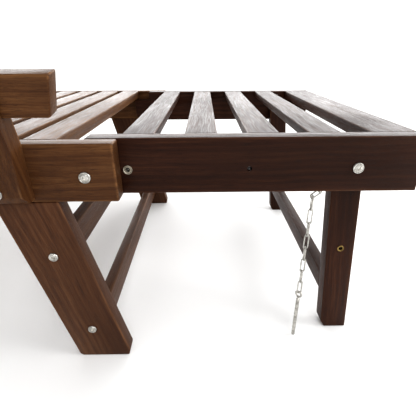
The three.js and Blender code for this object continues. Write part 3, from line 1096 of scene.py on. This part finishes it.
def slat_row(
    rows: BoardRow, names: tuple[str, str], nodes: Sequence[str], radius: float, finish: OiledWood, body: str,
    seed: int,
) -> None:
    """Replaces equal CAD slats with one row of eased ones.

    Args:
        rows: The pattern that sets them out.
        names: The row's name and the first slat's.
        nodes: The CAD slats, from the left.
        radius: Radius of their eased edges.
        finish: Their wood.
        body: The body they ride on.
        seed: Seed for where each is sawn from.
    """
    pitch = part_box(nodes[1])[0].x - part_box(nodes[0])[0].x
    first = eased_mesh(names[1], frame["nodes"][nodes[0]].data, CROSS_FLAT, radius, Rounding.LENGTH)
    row = rows.set_out(names[0], first, len(nodes), pitch, finish, seed)
    settle(row, body, nodes)


@dataclass
class SeatFrame:
    """The fixed seat: two rails, the slats between them, four splayed legs and their stretchers."""

    rows: BoardRow
    body: str = "seat_frame"
    slats: int = 17
    rail_radius: float = 2.6 * MM
    slat_radius: float = 1.8 * MM
    leg_radius: float = 1.8 * MM
    leg_splay: float = LEG_SPLAY

    def build(self) -> None:
        """Makes the rails, the slats, the legs and the stretchers."""
        for side, _ in SIDES:
            board(f"main_rail_{side}", LONG, self.rail_radius, SEAT_WOOD, self.body)
        nodes = [f"seat_slat_{i + 1:02d}" for i in range(self.slats)]
        names = ("seat_slats", "seat_slat")
        slat_row(self.rows, names, nodes, self.slat_radius, SEAT_WOOD, self.body, SEED)
        for end, way in ENDS:
            for side, _ in SIDES:
                board(f"leg_{side}_{end}", tilted(way, self.leg_splay), self.leg_radius, LEG_WOOD, self.body)
            for level in ("upper", "lower"):
                node = f"stretcher_{level}_{end}"
                board(node, CROSS_UPRIGHT, self.slat_radius, LEG_WOOD, self.body, Rounding.LENGTH)


@dataclass
class LeaningBack:
    """The back: two rails, the posts that carry them, and upright slats between the rails."""

    rows: BoardRow
    body: str = "seat_frame"
    lean: float = math.radians(12)
    radius: float = 2.2 * MM
    slats: int = 11
    slat_width: float = 45 * MM
    slat_thickness: float = 12 * MM
    slat_pitch: float = 72 * MM
    slat_easing: float = 0.7
    gap: float = 0.3 * MM
    groove_width: float = 8 * MM
    strip_radius: float = 0.4 * MM

    def build(self) -> None:
        """Makes the rails, the posts, the slats and the strip at their feet."""
        across = Lie(X_AXIS, leaning(self.lean).along)
        for node in ("back_rail_lower", "back_rail_top"):
            board(node, across, self.radius, SEAT_WOOD, self.body)
        for end, _ in ENDS:
            board(f"back_post_{end}", leaning(self.lean), self.radius, SEAT_WOOD, self.body, Rounding.LENGTH)
        self.raise_slats()

    def raise_slats(self) -> None:
        """Sets out the upright slats, with a filler strip in the groove at their feet."""
        lie = leaning(self.lean)
        up = lie.along
        low, high = self.reach("back_rail_lower", lie.thick)
        middle = (low + high) / 2
        bottom = self.reach("back_rail_lower", up)[1] + self.gap
        top = self.reach("back_rail_top", up)[0] - self.gap
        start = -(self.slats - 1) / 2 * self.slat_pitch
        slat = box_mesh(
            "back_slat", lie, (bottom, start - self.slat_width / 2, middle - self.slat_thickness / 2),
            (top, start + self.slat_width / 2, middle + self.slat_thickness / 2),
        )
        first = eased_mesh("back_slat_eased", slat, lie, self.radius * self.slat_easing, Rounding.LENGTH)
        row = self.rows.set_out("back_slat_row", first, self.slats, self.slat_pitch, SEAT_WOOD, SEED + 1)
        settle(row, self.body, ["back_slats"])
        half = -start + self.slat_width / 2
        strip_lie = Lie(X_AXIS, up)
        strip = box_mesh(
            "back_groove_strip", strip_lie,
            (-half, bottom - self.groove_width, -middle - self.groove_width / 2),
            (half, bottom, -middle + self.groove_width / 2),
        )
        mesh = eased_mesh("back_groove_filler", strip, strip_lie, self.strip_radius, Rounding.LENGTH)
        mesh.materials.append(FINISHES.of(SEAT_WOOD))
        settle(linked("back_groove_filler", mesh), self.body)

    def reach(self, node: str, way: Vector) -> tuple[float, float]:
        """Returns how low and how high a node reaches in a direction."""
        spots = [v.co.dot(way) for v in frame["nodes"][node].data.vertices]
        return min(spots), max(spots)


def box_mesh(name: str, lie: Lie, low: Sequence[float], high: Sequence[float]) -> bpy.types.Mesh:
    """A board between two corners in its own coordinates.

    Args:
        name: The mesh's name.
        lie: How it lies.
        low: Lowest corner: along, wide, thick.
        high: Highest corner.

    Returns:
        The closed mesh.
    """
    axes = Matrix((lie.along, lie.wide, lie.thick)).transposed()
    bm = bmesh.new()
    bmesh.ops.create_cube(bm, size=1.0)
    for vert in bm.verts:
        own = Vector(l + (h - l) * (c + 0.5) for l, h, c in zip(low, high, vert.co))
        vert.co = axes @ own
    bmesh.ops.recalc_face_normals(bm, faces=bm.faces)
    return plain(name, bm)


@dataclass
class Wing:
    """An arm wing: its rails, slats and end board, and the leg frame that folds out under it."""

    rows: BoardRow
    end: str
    way: int
    slats: int = 4
    rail_radius: float = 1.5 * MM
    slat_radius: float = 1.6 * MM
    leg_radius: float = 1.8 * MM
    leg_splay: float = WING_LEG_SPLAY

    def node(self, name: str) -> str:
        """Returns the CAD name of one of the wing's pieces."""
        return f"wing_{self.end}_{name}"

    def build(self) -> None:
        """Makes the wing and its leg frame."""
        wing, legs = f"wing_{self.end}", f"wing_legs_{self.end}"
        for side, _ in SIDES:
            board(self.node(f"rail_{side}"), LONG, self.rail_radius, WING_WOOD, wing)
            lie = tilted(self.way, self.leg_splay)
            board(self.node(f"leg_{side}"), lie, self.leg_radius, WING_WOOD, legs)
        board(self.node("end_board"), CROSS_FLAT, self.slat_radius, WING_WOOD, wing, Rounding.LENGTH)
        bar_lie = Lie(Y_AXIS, tilted(self.way, self.leg_splay).along)
        board(self.node("leg_bar"), bar_lie, self.slat_radius, WING_WOOD, legs, Rounding.LENGTH)
        nodes = sorted((self.node(f"slat_{i + 1}") for i in range(self.slats)), key=lambda n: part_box(n)[0].x)
        names = (f"wing_{self.end}_slats", f"wing_slat_{self.end}")
        slat_row(self.rows, names, nodes, self.slat_radius, WING_WOOD, wing, SEED + 3 + self.way)


@dataclass
class Hardware:
    """Bolts, nuts, washers and bushes."""

    fits: FittingSet
    frame_body: str = "seat_frame"
    leg_splay: float = LEG_SPLAY
    wing_leg_splay: float = WING_LEG_SPLAY
    pivot_head: SocketHead = SocketHead()
    small_head: SocketHead = SocketHead(diameter=14 * MM, height=2.2 * MM, socket=4.4 * MM)
    leg_bolt_heights: tuple[float, float] = (199 * MM, 59.5 * MM)
    hold_up_reach: float = 48.6 * MM
    hold_up_flange: float = 6.4 * MM
    lock_reach: float = 149 * MM
    lock_flange: float = 5.6 * MM
    nut_across: float = 13 * MM
    nut_height: float = 6.2 * MM
    bolt_end: float = 8 * MM
    washer_radius: float = 10 * MM
    washer_bore: float = 4.1 * MM
    washer_thickness: float = 1.6 * MM
    post_outer: float = 27.3 * MM
    post_bolt_rise: tuple[float, float] = (18 * MM, 52 * MM)

    def build(self) -> None:
        """Makes every fitting, one piece for each kind and body."""
        self.fit_pivots()
        self.fit_leg_bolts()
        self.fit_posts()
        for end, way in ENDS:
            self.fit_wing(end, way)

    def put(
        self, name: str, fitting: bpy.types.Mesh, spots: Sequence[Spot], body: str, finish: Plated = ZINC,
        nodes: Sequence[str] = (),
    ) -> None:
        """Sets a fitting at each spot, as one piece.

        Args:
            name: The piece's name.
            fitting: The fitting at the origin, facing +Z.
            spots: A place and a facing for each.
            body: The body they ride on.
            finish: Their metal.
            nodes: The CAD nodes that they stand for.
        """
        settle(self.fits.fit(name, fitting, spots, finish), body, nodes)

    def bolt(self, axis: Vector, outer_board: str, held_board: str, out: int) -> tuple[Spot, Spot, Spot]:
        """Places a bolt that holds one board inside another.

        Args:
            axis: A point on the bolt's axis.
            outer_board: The CAD board under its head.
            held_board: The CAD board that turns on it.
            out: The way its head faces along Y.

        Returns:
            The spots of its head, its nut and the washer between the boards.
        """
        near, far = (0, 1) if out < 0 else (1, 0)
        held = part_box(held_board)
        stack = ((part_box(outer_board)[near].y, out), (held[far].y, -out), (held[near].y, out))
        head, nut, shim = ((Vector((axis.x, y, axis.z)), way * Y_AXIS) for y, way in stack)
        return head, nut, shim

    def nut(self, name: str) -> bpy.types.Mesh:
        """Makes a pivot's nut."""
        return hex_nut(name, self.nut_across, self.nut_height, self.bolt_end)

    def shim(self, name: str) -> bpy.types.Mesh:
        """Makes a pivot's washer."""
        return washer(name, self.washer_radius, self.washer_bore, self.washer_thickness)

    def fit_pivots(self) -> None:
        """Bolts the wings to the main rails."""
        heads, nuts, shims = zip(*(
            self.bolt(joint_place(f"wing_{end}_fold"), f"main_rail_{side}", f"wing_{end}_rail_{side}", out)
            for end, _ in ENDS for side, out in SIDES
        ))
        nodes = [f"pivot_bolt_{side}_{end}" for end, _ in ENDS for side, _ in SIDES]
        body = self.frame_body
        self.put("pivot_bolt_heads", self.pivot_head.mesh("pivot_head"), heads, body, nodes=nodes)
        self.put("pivot_bolt_nuts", self.nut("pivot_nut"), nuts, body)
        self.put("pivot_washers", self.shim("pivot_washer"), shims, body)

    def fit_leg_bolts(self) -> None:
        """Bolts the legs to their stretchers."""
        spots = []
        for end, way in ENDS:
            foot = foot_middle(f"leg_back_{end}")
            faces = (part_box(f"leg_back_{end}")[0].y, -1), (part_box(f"leg_front_{end}")[1].y, 1)
            for z in self.leg_bolt_heights:
                x = foot - way * z * math.tan(self.leg_splay)
                spots += [(Vector((x, y, z)), out * Y_AXIS) for y, out in faces]
        self.put("leg_bolt_heads", self.small_head.mesh("leg_head"), spots, self.frame_body)

    def fit_posts(self) -> None:
        """Bolts the back's posts to the main rail."""
        spots = []
        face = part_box("main_rail_back")[0].y - self.post_outer
        for end, _ in ENDS:
            low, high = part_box(f"back_post_{end}")
            middle = (low.x + high.x) / 2
            spots += [(Vector((middle, face, low.z + rise)), -Y_AXIS) for rise in self.post_bolt_rise]
        self.put("post_bolt_heads", self.small_head.mesh("post_head"), spots, self.frame_body)

    def fit_wing(self, end: str, way: int) -> None:
        """Fits one wing's leg bolts, nuts, washers and bushes.

        Args:
            end: The end's name.
            way: -1 for the left end, 1 for the right.
        """
        wing, legs = f"wing_{end}", f"wing_legs_{end}"
        leg_pivot, pivot = joint_place(f"{legs}_fold"), joint_place(f"{wing}_fold")
        heads, nuts, shims = zip(*(
            self.bolt(leg_pivot, f"{wing}_rail_{side}", f"{wing}_leg_{side}", out) for side, out in SIDES
        ))
        hold_up = pivot.x + way * self.hold_up_reach
        bushes = [(Vector((hold_up, head.y, pivot.z)), facing) for head, facing in heads]
        lock = leg_pivot + self.lock_reach * tilted(way, self.wing_leg_splay).along
        inserts = [(Vector((lock.x, place.y, lock.z)), facing) for place, facing in (shims[0], nuts[0])]
        self.put(f"{end}_leg_pivot_heads", self.pivot_head.mesh("leg_pivot_head"), heads, wing)
        hold_up_bush = bush("hold_up_bush", self.hold_up_flange)
        # The hold-up bushes get the steel with painted recess shade.
        self.put(f"{end}_hold_up_bushes", hold_up_bush, bushes, wing, RECESS_SHADE_STEEL)
        self.put(f"{end}_leg_pivot_nuts", self.nut("leg_pivot_nut"), nuts, wing)
        self.put(f"{end}_leg_pivot_washers", self.shim("leg_pivot_washer"), shims, wing)
        self.put(f"{end}_lock_bushes", bush("lock_bush", self.lock_flange), inserts, legs, BRASS)


def bush(name: str, outer: float) -> bpy.types.Mesh:
    """A flanged bush for a pin hole: its flange on z = 0, its sleeve running down into the board.

    Args:
        name: The mesh's name.
        outer: The flange's radius.

    Returns:
        The closed mesh.
    """
    bore, flange, depth, step = 3.1 * MM, 0.9 * MM, 12 * MM, 0.55 * MM
    sleeve, lip = 3.45 * MM, outer - 1.3 * MM
    profile = [
        (bore, -depth), (bore, flange - step - 0.2 * MM), (bore + 0.25 * MM, flange - step),
        (lip - 0.3 * MM, flange - step), (lip, flange - 0.15 * MM), (lip + 0.3 * MM, flange),
        (outer - 0.4 * MM, flange), (outer, flange - 0.35 * MM), (outer, 0.05 * MM), (sleeve, 0.05 * MM),
        (sleeve, -depth),
    ]
    return turned(name, profile)


def foot_middle(node: str) -> float:
    """Returns the X of the middle of a leg's foot."""
    feet = [v.co.x for v in frame["nodes"][node].data.vertices if v.co.z < FLOOR_SLACK]
    return (min(feet) + max(feet)) / 2


def joint_place(name: str) -> Vector:
    """Returns where a joint's axis passes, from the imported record."""
    return next(Vector(j["pos_m"]) for j in frame["joints"] if j["name"] == name)


@dataclass
class LockChain:
    """A lock pin on its chain: staple, slanted first link, free links, and the pin."""

    end: str
    way: int
    run: LinkRun
    links: int = 8
    pitch: float = 22 * MM
    wire: float = 2.2 * MM
    width: float = 8.6 * MM
    link_drop: float = 0.12 * MM
    ring_radius: float = 5.1 * MM
    ring_wire: float = 3.0 * MM
    ring_turn: float = math.radians(40)
    pin_radius: float = 3 * MM
    pin_length: float = 92 * MM
    first_slant: float = math.radians(39)
    first_length: float = 14.2 * MM
    first_shift: float = 0.3 * MM
    staple_half: float = 5.5 * MM
    staple_corner: float = 1.6 * MM
    staple_set_in: float = 4 * MM

    def build(self) -> None:
        """Makes the chain, the pin and what holds the chain."""
        top = joint_place(f"chain_{self.end}_swing")
        loop = stadium(self.pitch + self.wire, self.width - self.wire)
        link = linked("chain_link", swept("chain_link", loop, self.wire / 2, closed=True))
        start = Vector((top.x, top.y, top.z - self.pitch / 2))
        values = {
            "Link": link, "Top": start, "Count": self.links, "Pitch": self.pitch, "Finish": FINISHES.of(ZINC),
        }
        chain = self.run.grown(f"chain_{self.end}_links", bpy.data.meshes.new("chain_start"), values)
        bpy.data.objects.remove(link)
        settle(chain, f"chain_{self.end}", [f"lock_chain_{self.end}"])
        self.hang_pin(top)
        self.hold_chain(top)

    def hang_pin(self, top: Vector) -> None:
        """Makes the ring-ended pin below the last link.

        Args:
            top: Where the chain turns on its first link.
        """
        wire_top = top.z - self.links * self.pitch
        middle = Vector((top.x, top.y, wire_top + self.ring_wire / 2 - self.ring_radius + self.link_drop))
        turn = Matrix.Rotation(self.ring_turn * self.way, 4, "Z")
        steps = 28
        circle = [
            self.ring_radius * Vector((0, math.cos(a), math.sin(a)))
            for a in (2 * math.pi * i / steps for i in range(steps))
        ]
        ring = swept("pin_ring", circle, self.ring_wire / 2, closed=True, sides=12)
        r, base, tip = self.pin_radius, -self.ring_radius - self.ring_wire / 2, -self.pin_length
        profile = [
            (0, tip), (r * 0.45, tip + 0.15 * MM), (r * 0.8, tip + 0.9 * MM),
            (r, tip + 2.4 * MM), (r, base - 3.4 * MM), (r * 0.62, base - 1.8 * MM),
            (r * 0.62, base + 0.3 * MM), (r * 0.95, base + 0.9 * MM), (0, base + 1.2 * MM),
        ]
        rod = turned("pin_rod", profile)
        bm = bmesh.new()
        bm.from_mesh(ring)
        bm.from_mesh(rod)
        bm.transform(Matrix.Translation(middle) @ turn)
        mesh = finished(f"pin_{self.end}_ring_pin", bm)
        mesh.materials.append(FINISHES.of(ZINC))
        pin = linked(f"pin_{self.end}_ring_pin", mesh)
        settle(pin, f"pin_{self.end}", [f"lock_pin_{self.end}"])

    def hold_chain(self, top: Vector) -> None:
        """Makes the slanted first link and the staple under the wing rail.

        Args:
            top: Where the chain turns on its first link.
        """
        up = Vector((self.way * math.cos(self.first_slant), 0, math.sin(self.first_slant)))
        hook = Vector((top.x, top.y, top.z + self.wire / 2))
        lower = hook - self.wire * up
        swing_room = Vector((self.way * self.first_shift, 0, -self.first_shift))
        middle = lower + up * self.first_length / 2 + swing_room
        loop = stadium(self.first_length + self.width - self.wire, self.width - self.wire)
        side = Vector((up.z, 0, -up.x))
        shrink = self.first_length / (self.first_length + self.wire)
        path = [middle + p.x * side + p.z * up * shrink for p in loop]
        link = swept(f"chain_{self.end}_first_link", path, self.wire / 2, closed=True)
        link.materials.append(FINISHES.of(ZINC))
        wing = f"wing_{self.end}"
        settle(linked(link.name, link), wing)
        bar = lower + up * (self.first_length - self.wire)
        half, corner = self.staple_half, self.staple_corner
        top_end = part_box(f"wing_{self.end}_rail_back")[0].z + self.staple_set_in
        path = [bar + Vector((0, -half, top_end - bar.z)), bar + Vector((0, -half, corner))]
        path += [bar + Vector((0, -half + corner * 0.3, corner * 0.3)), bar + Vector((0, -half + corner, 0))]
        path += [Vector((p.x, 2 * bar.y - p.y, p.z)) for p in reversed(path)]
        staple = swept(f"chain_{self.end}_staple", path, self.wire / 2, closed=False)
        staple.materials.append(FINISHES.of(ZINC))
        settle(linked(staple.name, staple), wing)


# ---------------------------------------------------------------- stage


@dataclass(frozen=True)
class SoftBox:
    """A rectangular soft box: where it hangs, what it faces, its size and its power in watts."""

    name: str
    place: Vector
    target: Vector
    size: tuple[float, float]
    power: float

    def hang(self) -> None:
        """Hangs the box, unseen by the camera."""
        lamp = bpy.data.lights.new(self.name, "AREA")
        lamp.shape = "RECTANGLE"
        lamp.size, lamp.size_y = self.size
        lamp.energy = self.power
        holder = linked(self.name, lamp)
        holder.location = self.place
        holder.rotation_euler = (self.target - self.place).to_track_quat("-Z", "Y").to_euler()
        holder.visible_camera = False


SOFT_BOXES = (
    SoftBox("behind", Vector((0.5, 36.0, 11.6)), Vector((0.5, 0, 0.3)), (68.0, 23.0), 19000.0),
    SoftBox("right", Vector((3.8, -0.5, 1.7)), Vector((0.5, 0, 0.2)), (2.0, 2.0), 66.0),
    SoftBox("near", Vector((1.5, -2.9, 2.1)), Vector((0.5, 0, 0.25)), (1.6, 1.6), 36.0),
)


@dataclass(frozen=True)
class Studio:
    """The floor, the light and the camera."""

    eye: Vector = Vector((0.6946, -0.6720, 0.463))
    pitch: float = math.radians(25.43)
    yaw: float = math.radians(-0.5741)
    roll: float = math.radians(-0.3041)
    lens: float = 28.24
    sensor: float = 36.0
    floor_size: float = 60.0
    floor_colour: Color = (0.93, 0.93, 0.925)
    sky_behind: float = 1.0
    sky_near: float = 0.55
    sky_turn: tuple[float, float] = (-1.0, 0.4)
    floor_drop: float = 0.2 * MM
    near_clip: float = 0.01

    def build(self) -> None:
        """Makes the floor, the lights and the camera."""
        self.lay_floor()
        self.light()
        self.aim()

    def lay_floor(self) -> None:
        """Lays a plain pale floor."""
        bm = bmesh.new()
        bmesh.ops.create_grid(bm, x_segments=1, y_segments=1, size=self.floor_size / 2)
        mesh = plain("floor", bm)
        made, n = blank("pale_floor")
        n.surface({"Roughness": 0.9, "Specular IOR Level": 0.1}, Base_Color=(*self.floor_colour, 1))
        mesh.materials.append(made)
        floor = linked("floor", mesh)
        floor.location.z = -self.floor_drop

    def light(self) -> None:
        """Sets a pale sky that is brighter behind, a wide panel far behind, and two soft boxes."""
        world = bpy.data.worlds.new("studio")
        bpy.context.scene.world = world
        world.use_nodes = True
        n = Nodes(world.node_tree)
        way = n.add("ShaderNodeTexCoord").outputs["Generated"]
        behind = n.add("ShaderNodeSeparateXYZ", Vector=way).outputs[1]
        strength = n.span(behind, *self.sky_turn, (self.sky_near, self.sky_behind))
        sky = n.add("ShaderNodeBackground", Color=(1, 1, 1, 1), Strength=strength)
        n.add("ShaderNodeOutputWorld", Surface=sky.outputs[0])
        for box in SOFT_BOXES:
            box.hang()
        view = bpy.context.scene.view_settings
        view.view_transform = "Standard"
        view.look = "Medium High Contrast"

    def aim(self) -> None:
        """Places the camera at its viewing angle."""
        turn = Matrix.Rotation(self.yaw, 3, "Z")
        forward = turn @ Vector((0, math.cos(self.pitch), -math.sin(self.pitch)))
        right = turn @ X_AXIS
        up = right.cross(forward)
        cos, sin = math.cos(self.roll), math.sin(self.roll)
        columns = (cos * right + sin * up, cos * up - sin * right, -forward)
        camera = bpy.data.cameras.new("camera")
        camera.lens = self.lens
        camera.sensor_width = self.sensor
        camera.clip_start = self.near_clip
        holder = linked("camera", camera)
        holder.matrix_world = Matrix.Translation(self.eye) @ Matrix(columns).transposed().to_4x4()
        bpy.context.scene.camera = holder


def main() -> None:
    """Builds the stage and every sub-assembly in order."""
    logging.basicConfig(level=logging.INFO, format="%(name)s: %(message)s")
    Studio().build()
    rows = BoardRow()
    SeatFrame(rows).build()
    LeaningBack(rows).build()
    for end, way in ENDS:
        Wing(rows, end, way).build()
    Hardware(FittingSet()).build()
    run = LinkRun()
    for end, way in ENDS:
        LockChain(end, way, run).build()


if __name__ == "__main__":
    main()
